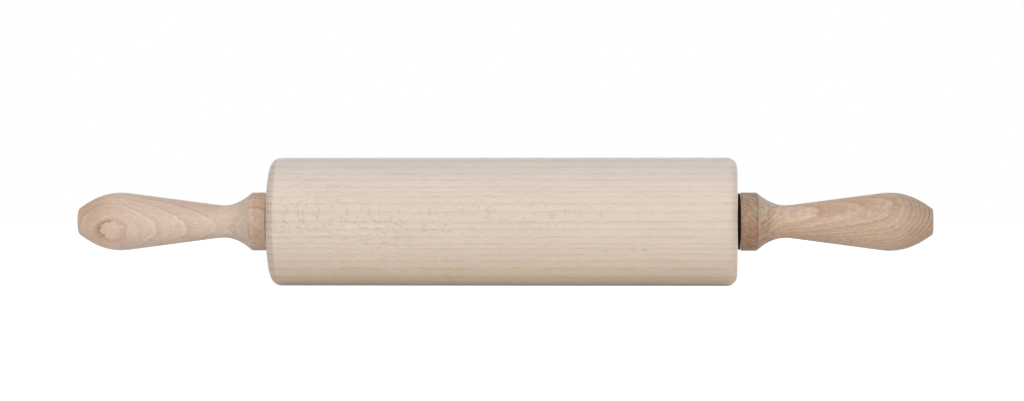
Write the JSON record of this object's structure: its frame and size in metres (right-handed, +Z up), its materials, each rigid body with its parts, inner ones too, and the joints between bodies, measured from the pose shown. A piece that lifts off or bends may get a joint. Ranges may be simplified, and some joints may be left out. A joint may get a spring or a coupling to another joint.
{
  "type": "rolling pin",
  "caption": "Beech rolling pin: a cylindrical barrel with rounded ends turns on ball bearings round a steel axle, between turned handles with a black washer at each.",
  "frame": {"origin": "on the table, under the middle of the barrel", "axes": "+X along the pin towards the right handle, +Z up"},
  "size_m": [0.458, 0.0686, 0.0686],
  "materials": {
    "barrel_beech": "pale unvarnished beech, sanded smooth, with fine straight grain along the barrel and small ray flecks",
    "handle_beech": "darker steamed beech, turned and sanded, with the growth rings cut to nested curves",
    "washer_black": "black moulded plastic",
    "axle_steel": "drawn steel rod, knurled at its ends",
    "bearing_steel": "ground and polished bearing steel",
    "cage_polymer": "natural moulded nylon"
  },
  "bodies": {
    "handles": {"handle_left": "handle_beech", "handle_right": "handle_beech", "axle_rod": "axle_steel", "washer_left": "washer_black", "washer_right": "washer_black", "inner_ring_left": "bearing_steel", "inner_ring_right": "bearing_steel"},
    "barrel": {"barrel": "barrel_beech", "outer_ring_left": "bearing_steel", "outer_ring_right": "bearing_steel", "outer_shield_left": "bearing_steel", "outer_shield_right": "bearing_steel", "inner_shield_left": "bearing_steel", "inner_shield_right": "bearing_steel"},
    "ball_cage_left": {"ball_cage_left": "cage_polymer", "ball_left_1": "bearing_steel", "ball_left_2": "bearing_steel", "ball_left_3": "bearing_steel", "ball_left_4": "bearing_steel", "ball_left_5": "bearing_steel", "ball_left_6": "bearing_steel", "ball_left_7": "bearing_steel"},
    "ball_cage_right": {"ball_cage_right": "cage_polymer", "ball_right_1": "bearing_steel", "ball_right_2": "bearing_steel", "ball_right_3": "bearing_steel", "ball_right_4": "bearing_steel", "ball_right_5": "bearing_steel", "ball_right_6": "bearing_steel", "ball_right_7": "bearing_steel"}
  },
  "joints": [
    {"name": "barrel_spin", "type": "hinge", "parent": "handles", "child": "barrel", "pos_m": [0, 0, 0.03431], "axis": [1, 0, 0], "continuous": true},
    {"name": "ball_cage_left_spin", "type": "hinge", "parent": "handles", "child": "ball_cage_left", "pos_m": [-0.1211, 0, 0.03431], "axis": [1, 0, 0], "continuous": true},
    {"name": "ball_cage_right_spin", "type": "hinge", "parent": "handles", "child": "ball_cage_right", "pos_m": [0.1211, 0, 0.03431], "axis": [1, 0, 0], "continuous": true}
  ],
  "couplings": [
    {"joint": "ball_cage_left_spin", "follows": "barrel_spin", "ratio": 0.63257},
    {"joint": "ball_cage_right_spin", "follows": "barrel_spin", "ratio": 0.63257}
  ]
}
